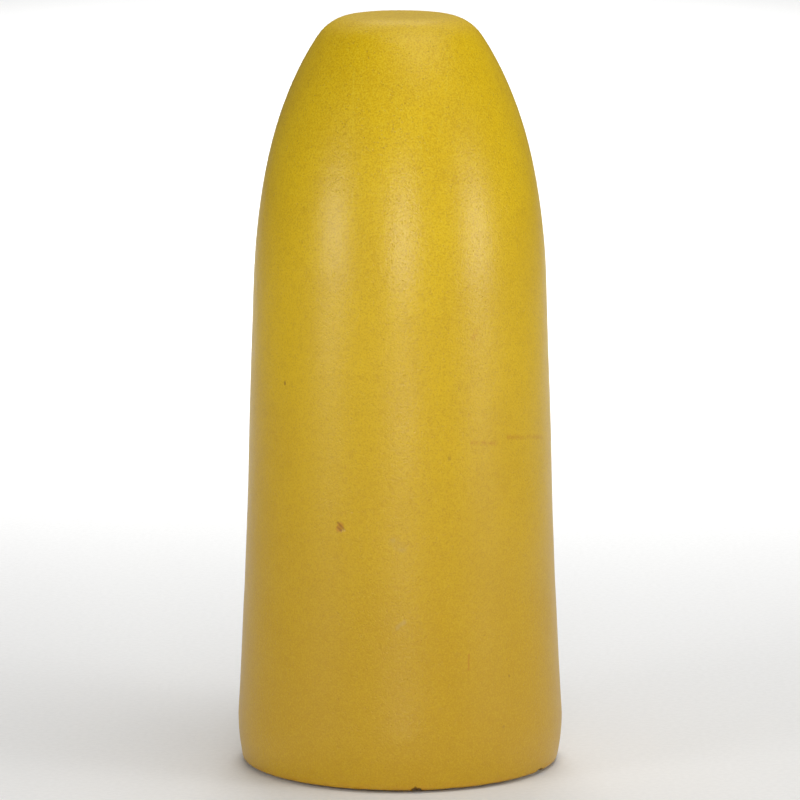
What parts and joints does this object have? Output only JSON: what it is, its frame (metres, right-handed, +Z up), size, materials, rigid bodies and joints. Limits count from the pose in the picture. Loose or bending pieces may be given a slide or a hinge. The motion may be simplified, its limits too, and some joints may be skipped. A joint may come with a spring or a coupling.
{
  "type": "felling wedge",
  "caption": "Bullet-shaped forestry wedge: a hollow moulded body on a flared round butt, driven through a ringed hardwood plug seated in its taper.",
  "frame": {"origin": "centre of the struck face, on the axis, at the bottom of the object's box", "axes": "+Z up the axis from the struck face to the nose, +X to the right seen from the front, +Y to the back"},
  "size_m": [0.0868, 0.0868, 0.2],
  "materials": {
    "moulding": "finely grained moulded yellow plastic, satin, scuffed, chipped at the rim",
    "plug_wood": "turned hardwood, end grain bruised by hammer blows",
    "ring_steel": "turned mild steel, worn, light rust",
    "wedge_steel": "drawn mild steel, dull",
    "disc_steel": "cold rolled steel"
  },
  "bodies": {
    "root": {"wedge_body": "moulding", "strike_plug": "plug_wood", "plug_ring": "ring_steel", "ring_wedge": "wedge_steel", "thrust_disc": "disc_steel"}
  },
  "joints": []
}
